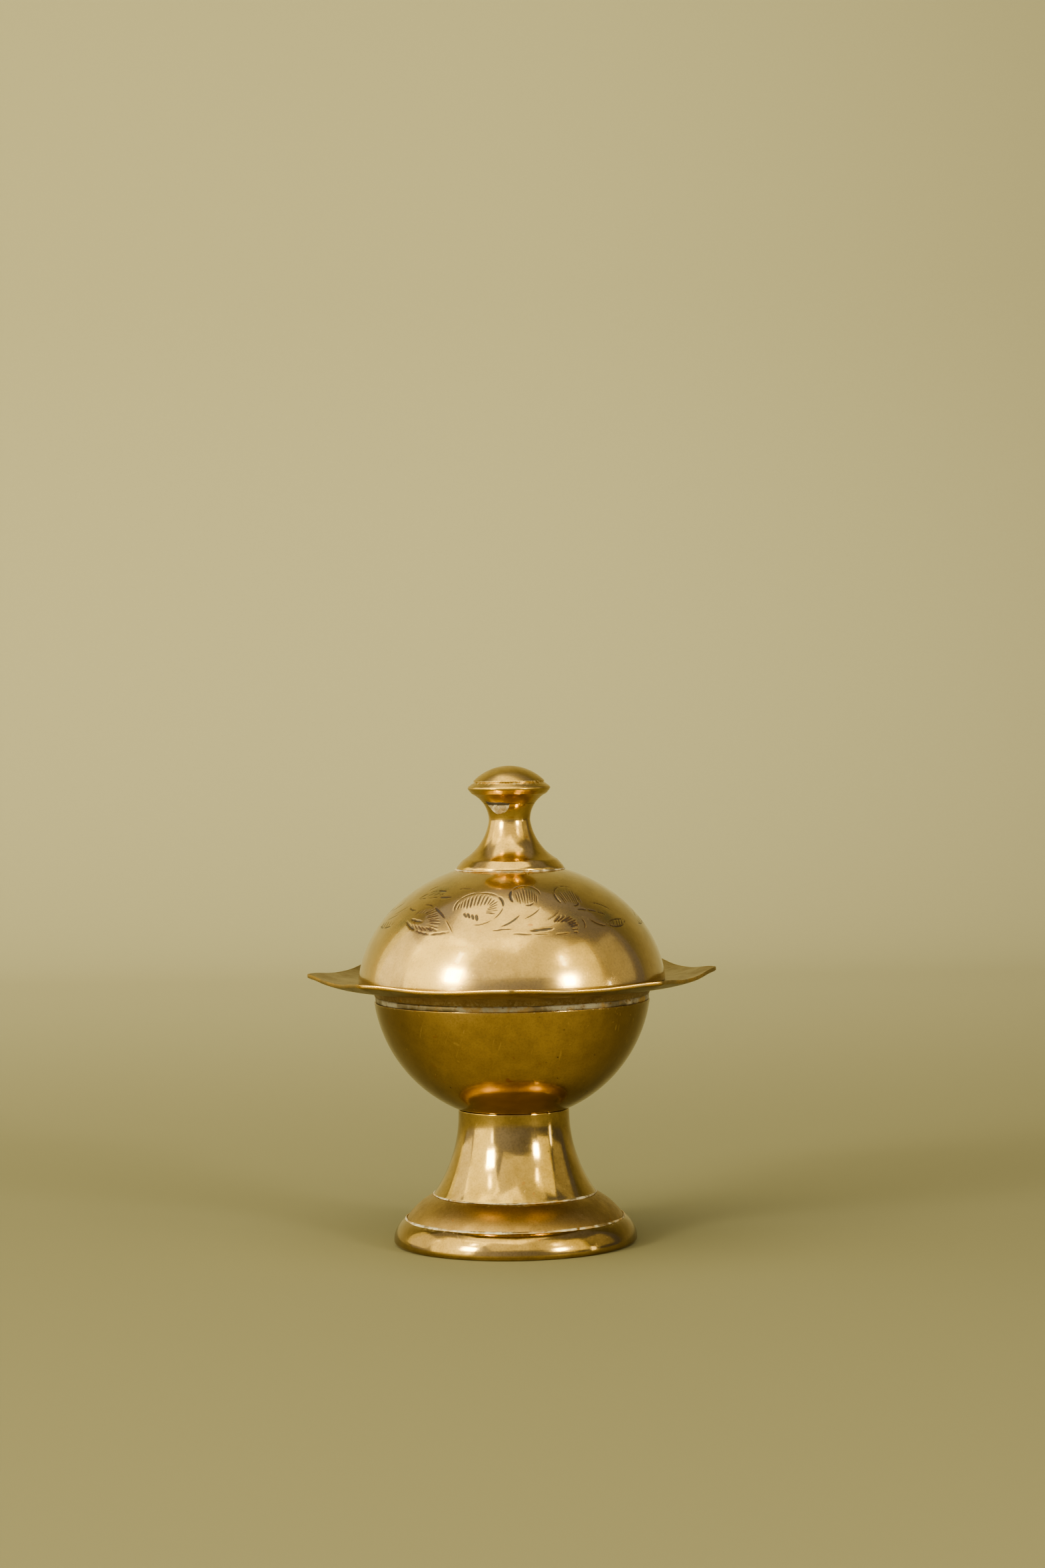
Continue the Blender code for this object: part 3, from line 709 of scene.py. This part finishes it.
class Build:
    """Small helper that adds and links shader nodes."""

    def __init__(self, name):
        self.material = bpy.data.materials.new(name)
        self.material.use_nodes = True
        self.nodes = self.material.node_tree.nodes
        self.links = self.material.node_tree.links
        self.shader = self.nodes["Principled BSDF"]
        self.place = self.nodes.new("ShaderNodeTexCoord").outputs["Object"]

    def put(self, value, target):
        """Links an output to an input, or sets the input to a plain value."""
        if isinstance(value, bpy.types.NodeSocket):
            self.links.new(value, target)
        else:
            target.default_value = value

    def scaled(self, x, y, z):
        """Places stretched along the axes, so that one noise makes streaks or rings."""
        node = self.nodes.new("ShaderNodeMapping")
        node.inputs["Scale"].default_value = (x, y, z)
        self.links.new(self.place, node.inputs["Vector"])
        return node.outputs["Vector"]

    def slanted(self, lean, fine, long):
        """Places stretched into streaks that lean from the upright, for scratches."""
        node = self.nodes.new("ShaderNodeMapping")
        node.vector_type = "TEXTURE"
        node.inputs["Rotation"].default_value = (lean, lean * 0.6, 0.0)
        node.inputs["Scale"].default_value = (1 / fine, 1 / fine, 1 / long)
        self.links.new(self.place, node.inputs["Vector"])
        return node.outputs["Vector"]

    def noise(self, scale, detail=4.0, rough=0.55, vector=None, distortion=0.0):
        node = self.nodes.new("ShaderNodeTexNoise")
        node.inputs["Scale"].default_value = scale
        node.inputs["Detail"].default_value = detail
        node.inputs["Roughness"].default_value = rough
        node.inputs["Distortion"].default_value = distortion
        self.links.new(self.place if vector is None else vector, node.inputs["Vector"])
        return node.outputs["Fac"]

    def spots(self, scale):
        """Distance to the nearest of many scattered points."""
        node = self.nodes.new("ShaderNodeTexVoronoi")
        node.inputs["Scale"].default_value = scale
        self.links.new(self.place, node.inputs["Vector"])
        return node.outputs["Distance"]

    def math(self, operation, a, b=0.0):
        node = self.nodes.new("ShaderNodeMath")
        node.operation = operation
        self.put(a, node.inputs[0])
        self.put(b, node.inputs[1])
        return node.outputs[0]

    def ramp(self, value, low, high, to_low=0.0, to_high=1.0):
        """Takes low..high smoothly to to_low..to_high."""
        node = self.nodes.new("ShaderNodeMapRange")
        node.interpolation_type = "SMOOTHSTEP"
        self.put(value, node.inputs["Value"])
        node.inputs["From Min"].default_value = low
        node.inputs["From Max"].default_value = high
        node.inputs["To Min"].default_value = to_low
        node.inputs["To Max"].default_value = to_high
        return node.outputs["Result"]

    def mix(self, factor, a, b):
        node = self.nodes.new("ShaderNodeMix")
        node.data_type = "RGBA"
        self.put(factor, node.inputs["Factor"])
        for value, target in ((a, node.inputs[6]), (b, node.inputs[7])):
            self.put(value if isinstance(value, bpy.types.NodeSocket) else (*value, 1.0), target)
        return node.outputs[2]

    def along(self, axis):
        """How far a place is along X, Y or Z, in metres."""
        node = self.nodes.new("ShaderNodeSeparateXYZ")
        self.links.new(self.place, node.inputs[0])
        return node.outputs[axis]

    def attribute(self, name):
        node = self.nodes.new("ShaderNodeAttribute")
        node.attribute_name = name
        return node.outputs["Fac"]

    def bump(self, height, strength, distance, normal=None):
        node = self.nodes.new("ShaderNodeBump")
        node.inputs["Strength"].default_value = strength
        node.inputs["Distance"].default_value = distance
        self.links.new(height, node.inputs["Height"])
        if normal is not None:
            self.links.new(normal, node.inputs["Normal"])
        return node.outputs["Normal"]


def add_side_shade(b, colour, dull, wear_and_side_shade):
    """Painted shade: the front, towards -Y, keeps its colour and the sides and back are darkened."""
    across = b.math("POWER", b.along("X"), 2.0)
    radius = b.math("SQRT", b.math("ADD", across, b.math("POWER", b.along("Y"), 2.0)))
    facing = b.math("DIVIDE", b.math("MULTIPLY", b.along("Y"), -1.0), b.math("MAXIMUM", radius, 0.001))
    return b.mix(b.ramp(facing, 0.99, 0.55, 0.0, wear_and_side_shade), colour, tuple(0.3 * c for c in dull))


def add_marks(b, colour, bright, broad, blotch):
    """Rust-coloured spots and two families of slanting nicks."""
    rust = b.math("MULTIPLY", b.ramp(b.noise(620, 2, 0.5), 0.66, 0.76), b.ramp(broad, 0.46, 0.6))
    colour = b.mix(b.math("MULTIPLY", rust, 0.7), colour, (0.46, 0.19, 0.05))
    nick = b.ramp(b.noise(1, 1, 0.5, vector=b.slanted(0.5, 1500, 70)), 0.70, 0.76)
    nick = b.math("MAXIMUM", nick, b.ramp(b.noise(1, 1, 0.5, vector=b.slanted(-0.7, 1400, 90)), 0.71, 0.77))
    nick = b.math("MULTIPLY", nick, b.ramp(blotch, 0.48, 0.58))
    return b.mix(b.math("MULTIPLY", nick, 0.3), colour, tuple(min(1.0, 1.3 * c + 0.1) for c in bright))


def add_residue(b, surface, level, spread, amount):
    """Pale polish and solder left round the vessel at one level, in millimetres."""
    colour, rough, metal = surface
    away = b.math("ABSOLUTE", b.math("SUBTRACT", b.along("Z"), level * MM))
    near = b.ramp(away, spread * MM, 0.25 * spread * MM)
    pale = b.math("MULTIPLY", near, b.ramp(b.noise(1500, 5, 0.7), 0.45, 0.75, 0.0, amount))
    colour = b.mix(pale, colour, (0.55, 0.48, 0.34))
    rough = b.math("ADD", rough, b.math("MULTIPLY", pale, 0.4))
    return colour, rough, b.math("SUBTRACT", metal, b.math("MULTIPLY", pale, 0.7))


def add_cuts(b, surface, blotch, speck):
    """Dirt between the engraved leaves, and cuts that darken from brown at their edges to near-black."""
    colour, rough, metal = surface
    dirt = b.math("MULTIPLY", b.attribute("grime"), b.ramp(blotch, 0.38, 0.6, 0.35, 1.0))
    colour = b.mix(b.math("MULTIPLY", dirt, 0.8), colour, (0.17, 0.15, 0.075))
    rough = b.math("ADD", rough, b.math("MULTIPLY", dirt, 0.15))
    groove = b.attribute("cut")
    dark = b.ramp(groove, 0.10, 0.55)
    deep = b.ramp(b.math("ADD", groove, b.math("MULTIPLY", b.math("SUBTRACT", speck, 0.5), 1.2)), 0.6, 1.2)
    colour = b.mix(dark, colour, (0.11, 0.060, 0.022))
    colour = b.mix(deep, colour, (0.035, 0.033, 0.036))
    rough = b.math("ADD", rough, b.math("MULTIPLY", dark, 0.25))
    return colour, rough, b.math("SUBTRACT", metal, b.math("MULTIPLY", deep, 0.5))


def brass(
    name, bright, dull, roughness, patina=0.5, turning=0.3, pits=0.3, *,
    residue=(), cut=False, worn=None, coat=0.0, wear_and_side_shade=0.0,
):
    """Old brass: uneven patina, turning lines, fine scratches, pits, pale residue near soldered seams, and
    painted shade on the sides and back where asked.
    """
    b = Build(name)
    broad = b.noise(55, 5, 0.6, distortion=0.4)
    blotch = b.noise(330, 4, 0.6)
    speck = b.noise(2600, 3, 0.6)
    rings = b.noise(1, 3, 0.5, vector=b.scaled(25, 25, 2600))
    scratches = b.noise(1, 2, 0.5, vector=b.scaled(160, 160, 4200))
    cloud = b.math("ADD", b.math("MULTIPLY", broad, 0.42), b.math("MULTIPLY", blotch, 0.58))
    tarnish = b.math("MULTIPLY", b.ramp(cloud, 0.36, 0.64), patina)
    colour = b.mix(tarnish, bright, dull)
    grain = b.math("MULTIPLY", b.ramp(speck, 0.42, 0.7), 0.22)
    colour = b.mix(grain, colour, tuple(c * 0.45 for c in dull))
    # painted shade: the sides and back are darkened, the front is left as it is
    if wear_and_side_shade:
        colour = add_side_shade(b, colour, dull, wear_and_side_shade)
    pit = b.math("MULTIPLY", b.ramp(b.spots(430), 0.11, 0.03), b.ramp(blotch, 0.52, 0.62))
    pit = b.math("MULTIPLY", pit, pits)
    colour = b.mix(pit, add_marks(b, colour, bright, broad, blotch), (0.035, 0.022, 0.01))
    rough = b.math("ADD", roughness, b.math("MULTIPLY", tarnish, 0.10))
    rough = b.math("ADD", rough, b.math("MULTIPLY", b.math("SUBTRACT", rings, 0.5), 0.22 * turning))
    rough = b.math("ADD", rough, b.math("MULTIPLY", pit, 0.3))
    surface = colour, rough, 1.0
    for level, spread, amount in residue:
        surface = add_residue(b, surface, level, spread, amount)
    if cut:
        surface = add_cuts(b, surface, blotch, speck)
    colour, rough, metal = surface
    if worn:
        bare = b.math("MULTIPLY", b.attribute("worn"), b.ramp(b.noise(260, 4, 0.7), 0.38, 0.6, 0.25, 1.0))
        colour = b.mix(bare, colour, worn)
        rough = b.math("SUBTRACT", rough, b.math("MULTIPLY", bare, 0.12))
    b.put(colour, b.shader.inputs["Base Color"])
    b.put(rough, b.shader.inputs["Roughness"])
    b.put(metal, b.shader.inputs["Metallic"])
    b.shader.inputs["Coat Weight"].default_value = coat
    b.shader.inputs["Coat Roughness"].default_value = 0.05
    b.shader.inputs["Coat IOR"].default_value = 1.7
    relief = b.math("ADD", b.math("MULTIPLY", rings, turning), b.math("MULTIPLY", speck, 0.35))
    relief = b.math("ADD", relief, b.math("MULTIPLY", scratches, 0.3 * turning))
    relief = b.math("SUBTRACT", relief, b.math("MULTIPLY", pit, 2.0))
    normal = b.bump(broad, 0.35, 0.0001)
    b.links.new(b.bump(relief, 0.25, 0.00002, normal), b.shader.inputs["Normal"])
    return b.material


def solder_material(name, painted_top_shadow=False, bare=0.5, tone=1.0, patches=420):
    """Dull, chalky solder with bare grey patches and brown blotches; the knob patch also gets a painted
    shadow along its top.
    """
    b = Build(name)
    pale, grey = [tuple(tone * c for c in colour) for colour in ((0.60, 0.55, 0.50), (0.30, 0.24, 0.17))]
    patch = b.ramp(b.noise(patches, 5, 0.65), 0.42, 0.62)
    stain_and_top_shadow = b.ramp(b.noise(900, 4, 0.6, distortion=0.5), 0.55, 0.68)
    colour = b.mix(stain_and_top_shadow, b.mix(patch, pale, grey), (0.22, 0.13, 0.05))
    wear_and_side_shade = b.ramp(b.noise(90, 5, 0.7), bare, bare + 0.12)
    colour = b.mix(b.math("MULTIPLY", wear_and_side_shade, 0.85), colour, (0.42, 0.27, 0.11))
    # painted shadow: near-black along the top of the knob patch
    if painted_top_shadow:
        colour = b.mix(b.attribute("stain_and_top_shadow"), colour, (0.06, 0.05, 0.045))
    b.put(colour, b.shader.inputs["Base Color"])
    b.put(b.ramp(patch, 0, 1, 0.62, 0.42), b.shader.inputs["Roughness"])
    b.put(b.ramp(patch, 0, 1, 0.25, 0.3 if painted_top_shadow else 0.75), b.shader.inputs["Metallic"])
    b.links.new(b.bump(b.noise(2200, 4, 0.6), 0.6, 0.00006), b.shader.inputs["Normal"])
    return b.material


def dress(obj, material, slot, *nodes):
    """Gives a piece its material and hides the CAD nodes that it stands for. The slot is not used."""
    obj.data.materials.clear()
    obj.data.materials.append(material)
    if nodes:
        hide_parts(*nodes)


# ---------------------------------------------------------------- surroundings


def paper():
    """Khaki paper with painted light and shade: paler where it stands up behind the vessel, a little darker
    near its top, and darker on the right.
    """
    b = Build("paper")
    # painted light and shade: the floor darker than the upright part, the top and the right side darker
    far = b.math("ADD", b.along("Y"), b.math("MULTIPLY", b.along("Z"), 1.5))
    colour = b.mix(b.ramp(far, 0.02, 0.75), (0.204, 0.196, 0.138), (0.44, 0.423, 0.325))
    colour = b.mix(b.ramp(b.along("Z"), 0.30, 0.75), colour, (0.37, 0.36, 0.265))
    colour = b.mix(b.ramp(b.along("X"), -0.05, 0.45, 0.0, 0.26), colour, (0.0, 0.0, 0.0))
    fibre = b.ramp(b.noise(900, 4, 0.6), 0, 1, 0.0, 0.08)
    b.put(b.mix(fibre, colour, (0.25, 0.2, 0.1)), b.shader.inputs["Base Color"])
    b.put(0.8, b.shader.inputs["Roughness"])
    b.put(0.3, b.shader.inputs["Specular IOR Level"])
    return b.material


def make_surroundings():
    """A sheet of paper that lies under the vessel and sweeps up behind it. Sizes are in metres."""
    start, bend, top, half_width, front = 0.62, 0.30, 1.9, 1.7, 1.5
    profile = [(-front, 0.0), (-0.6, 0.0), (0.0, 0.0), (start, 0.0)]
    for k in range(1, 25):
        t = k / 24 * math.pi / 2
        profile.append((start + bend * math.sin(t), bend * (1 - math.cos(t))))
    profile += [(start + bend, bend + (top - bend) * k / 4) for k in range(1, 5)]
    vertices, faces = [], []
    for y, z in profile:
        vertices += [(-half_width, y, z), (half_width, y, z)]
    for i in range(len(profile) - 1):
        faces.append([2 * i, 2 * i + 1, 2 * i + 3, 2 * i + 2])
    mesh = bpy.data.meshes.new("backdrop")
    mesh.from_pydata(vertices, [], faces)
    mesh.shade_smooth()
    mesh.materials.append(paper())
    sheet = bpy.data.objects.new("backdrop", mesh)
    bpy.context.scene.collection.objects.link(sheet)


LIGHTS_AIM = Vector((0, 0, 0.055))  # the middle of the vessel
LAMP_COLOUR = (1.0, 0.92, 0.56)


def add_light(name, azimuth, elevation, distance, size, brightness, colour=LAMP_COLOUR):
    """An area light round the vessel. Azimuth 0 is in front of it and 90 on its right."""
    data = bpy.data.lights.new(name, "AREA")
    data.shape = "RECTANGLE"
    data.size, data.size_y = size
    data.energy = brightness * math.pi * size[0] * size[1]
    data.color = colour
    light = bpy.data.objects.new(name, data)
    a, e = math.radians(azimuth), math.radians(elevation)
    offset = Vector((math.sin(a) * math.cos(e), -math.cos(a) * math.cos(e), math.sin(e))) * distance
    light.location = LIGHTS_AIM + offset
    light.rotation_euler = (-offset).to_track_quat("-Z", "Y").to_euler()
    light.visible_camera = False
    bpy.context.scene.collection.objects.link(light)


def make_lights():
    """Soft panels, brightest on the left, then two small strong lamps and four narrow ones near them."""
    add_light("panel_left", -64, 26, 1.45, (1.3, 1.5), 2.0, (1.0, 0.87, 0.33))
    add_light("panel_far_left", -108, 20, 1.45, (0.9, 0.9), 1.2, (1.0, 0.88, 0.38))
    add_light("panel_front", 10, 42, 1.5, (1.9, 1.15), 0.92, (1.0, 0.86, 0.33))
    add_light("panel_right", 60, 25, 1.5, (0.7, 1.1), 1.4, (1.0, 0.85, 0.30))
    add_light("panel_far_right", 94, 22, 1.5, (0.7, 0.9), 0.36, (1.0, 0.86, 0.36))
    add_light("panel_top", -30, 76, 1.25, (1.2, 1.2), 1.7, (1.0, 0.88, 0.40))
    add_light("lamp_left", -46, 21, 1.3, (0.27, 0.29), 44.0)
    add_light("lamp_right", 44, 15, 1.3, (0.19, 0.20), 62.0)
    add_light("lamp_left_high", -47, 38, 1.3, (0.08, 0.22), 12.0)
    add_light("lamp_right_high", 44, 34, 1.3, (0.07, 0.22), 14.0, (1.0, 0.90, 0.50))
    add_light("slit_left", -44, 5, 1.3, (0.08, 0.20), 5.0)
    add_light("slit_right", 78, 3, 1.3, (0.05, 0.26), 12.0)


def make_world():
    """The room's own faint light, brighter on the left."""
    world = bpy.data.worlds.new("room")
    world.use_nodes = True
    nodes, links = world.node_tree.nodes, world.node_tree.links
    background = nodes["Background"]
    background.inputs["Color"].default_value = (1.0, 0.96, 0.90, 1)
    direction = nodes.new("ShaderNodeTexCoord")
    split = nodes.new("ShaderNodeSeparateXYZ")
    across = nodes.new("ShaderNodeMapRange")
    links.new(direction.outputs["Generated"], split.inputs[0])
    links.new(split.outputs["X"], across.inputs["Value"])
    for key, value in (("From Min", -1), ("From Max", 1), ("To Min", 0.60), ("To Max", 0.16)):
        across.inputs[key].default_value = value
    links.new(across.outputs["Result"], background.inputs["Strength"])
    bpy.context.scene.world = world


CAMERA_PLACE = (0.00274, -0.6843, 0.11202)
CAMERA_TIP, CAMERA_ROLL = math.radians(1.64), math.radians(-0.85)  # the photo's camera looked a little down
CAMERA_LENS, CAMERA_SENSOR = 78.06, 36


def make_camera():
    """A little above the lid and tipped down, as the vessel was seen."""
    data = bpy.data.cameras.new("camera")
    data.sensor_fit = "VERTICAL"
    data.sensor_height = CAMERA_SENSOR
    data.lens = CAMERA_LENS
    data.clip_start, data.clip_end = 0.01, 50
    camera = bpy.data.objects.new("camera", data)
    tip = Matrix.Rotation(math.pi / 2 - CAMERA_TIP, 4, "X")
    camera.matrix_world = Matrix.Translation(CAMERA_PLACE) @ tip @ Matrix.Rotation(CAMERA_ROLL, 4, "Z")
    bpy.context.scene.collection.objects.link(camera)
    bpy.context.scene.camera = camera
    bpy.context.scene.view_settings.look = "AgX - Medium High Contrast"


# ---------------------------------------------------------------- the whole vessel

make_camera()
make_surroundings()
make_lights()
make_world()

FINIAL_SEAM = float(dome_surface(11.0))  # the level of the seam round the neck's foot

foot_brass = brass(
    "foot_ring_look", (0.55, 0.385, 0.17), (0.36, 0.24, 0.09), 0.12, 0.8, 0.3, 0.7,
    # painted shade on the sides and back
    residue=((FOOT_RING_TOP, 0.6, 0.4),), wear_and_side_shade=0.4,
)
moulding_brass = brass(
    "foot_moulding_look", (0.44, 0.3, 0.14), (0.28, 0.185, 0.085), 0.32, 0.8, 0.5, 0.5,
    residue=((FOOT_RING_TOP, 0.6, 0.4), (MOULDING_TOP, 0.5, 0.4)),
)
stem_brass = brass(
    "stem_look", (0.54, 0.385, 0.17), (0.36, 0.245, 0.09), 0.09, 0.7, 0.25, 0.8,
    residue=((MOULDING_TOP + 0.2, 0.6, 0.4),),
)
bowl_brass = brass(
    "bowl_look", (0.7, 0.475, 0.205), (0.45, 0.295, 0.12), 0.12, 0.55, 0.4, 1.0,
    # painted shade on the sides and back
    residue=((BOWL_RIM, 0.6, 0.4),), wear_and_side_shade=0.62,
)
# painted shade: the collar's colours are darkened for the shadow that the brim casts on it
collar_brass = brass(
    "collar_look", (0.34, 0.23, 0.13), (0.22, 0.14, 0.08), 0.36, 0.8, 0.5, 0.3,
    residue=((COLLAR_BOTTOM + 0.3, 0.9, 0.6),),
)
brim_brass = brass(
    "brim_look", (0.38, 0.29, 0.17), (0.25, 0.18, 0.10), 0.34, 0.8, 0.2, 0.4, worn=(0.52, 0.33, 0.11),
)
dome_brass = brass(
    "dome_look", (0.66, 0.46, 0.2), (0.48, 0.32, 0.12), 0.175, 0.7, 0.3, 0.5,
    residue=((FINIAL_SEAM - 0.2, 0.5, 0.3),), cut=True, coat=0.65,
)
hidden_brass = brass("locating_ring_look", (0.45, 0.30, 0.11), (0.28, 0.17, 0.06), 0.36, 0.8, 0.5, 0.3)
neck_brass = brass(
    "neck_look", (0.7, 0.49, 0.21), (0.46, 0.305, 0.115), 0.15, 0.7, 0.3, 0.6,
    residue=((FINIAL_SEAM + 0.3, 0.4, 0.4),),
)
knob_brass = brass(
    "knob_look", (0.7, 0.5, 0.22), (0.5, 0.34, 0.13), 0.2, 0.7, 0.3, 0.5,
    residue=((KNOB_TOP - 3.3, 0.5, 0.9),),
)
solder = solder_material("solder_look")
collar_solder = solder_material("collar_solder_look", bare=0.5, tone=0.74, patches=150)
knob_solder = solder_material("knob_solder_look", painted_top_shadow=True, bare=0.9, tone=1.3)

dress(make_foot_ring(), foot_brass, "foot_ring_brass", "foot_ring")
dress(make_foot_moulding(), moulding_brass, "foot_moulding_brass", "foot_moulding")
dress(make_stem(), stem_brass, "stem_brass", "stem")
dress(make_bowl(), bowl_brass, "bowl_brass", "bowl")
dress(make_collar(), collar_brass, "collar_brass", "mouth_collar")
dress(make_brim(), brim_brass, "brim_brass", "petal_brim")
dress(make_dome(), dome_brass, "dome_brass", "lid_dome")
dress(make_locating_ring(), hidden_brass, "locating_ring_brass", "lid_locating_ring")
dress(make_neck(), neck_brass, "neck_brass", "finial_neck")
dress(make_knob(), knob_brass, "knob_brass", "finial_knob")

OUTWARD, SLANTING = (1.0, 0.0), (0.6, 0.8)  # the way a seam bulges, as (r, z)
foot_place = (22.05, FOOT_RING_TOP + 0.1)
stem_place = (stem_radius(MOULDING_TOP + 0.2) + 0.05, MOULDING_TOP + 0.15)
collar_place = (27.45, COLLAR_BOTTOM - 0.55)
finial_place = (10.95, float(dome_surface(10.95)) + 0.12)
foot_seam = make_seam("foot_seam", (foot_place, SLANTING), "stand", 41, 0.22, 0.14, 0.7)
stem_seam = make_seam("stem_seam", (stem_place, SLANTING), "stand", 43, 0.20, 0.13, 0.7)
collar_seam = make_seam("collar_seam", (collar_place, OUTWARD), "stand", 45, 0.58, 0.16, 0.2)
finial_seam = make_seam("finial_seam", (finial_place, SLANTING), "lid", 47, 0.18, 0.12, 0.6)
dress(foot_seam, solder, "solder", "foot_solder_ring")
dress(stem_seam, solder, "solder", "stem_solder_ring")
dress(collar_seam, collar_solder, "solder", "collar_solder_ring")
dress(finial_seam, solder, "solder", "finial_solder_ring")
dress(make_knob_patch(), knob_solder, "solder")
